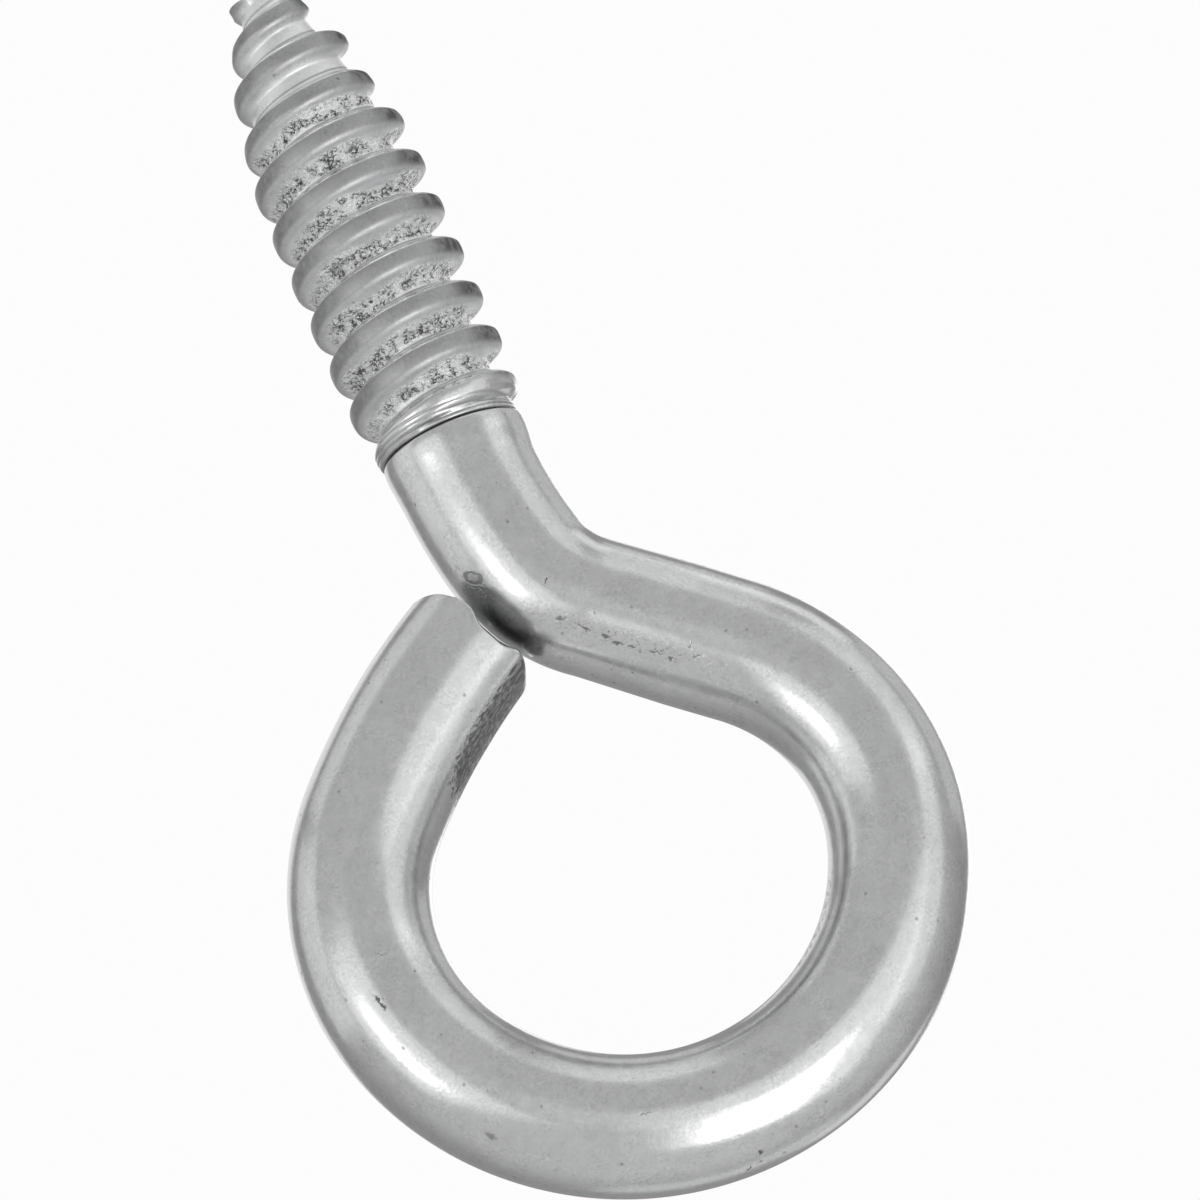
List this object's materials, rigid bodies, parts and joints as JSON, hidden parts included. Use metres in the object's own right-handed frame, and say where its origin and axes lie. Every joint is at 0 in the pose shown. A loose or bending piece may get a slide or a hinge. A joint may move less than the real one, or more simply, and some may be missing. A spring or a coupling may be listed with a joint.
{
  "type": "screw eye",
  "caption": "Zinc-plated steel wire bent into a nearly closed, centred eye, with a coarse right-hand wood-screw thread and a blunt tapered point on its straight shank.",
  "frame": {"origin": "on the shank's axis at the shoulder, where the thread meets the plain shank", "axes": "+Z along the shank to the point, eye hanging below in the XZ plane, +X the side the wire bends to first as it leaves the shank, +Y through the eye from front to back"},
  "size_m": [0.0375, 0.0094, 0.0729],
  "materials": {
    "zinc_plated_steel": "bright zinc plating, satin, over drawn steel wire"
  },
  "bodies": {
    "root": {"screw_eye": "zinc_plated_steel"}
  },
  "joints": []
}
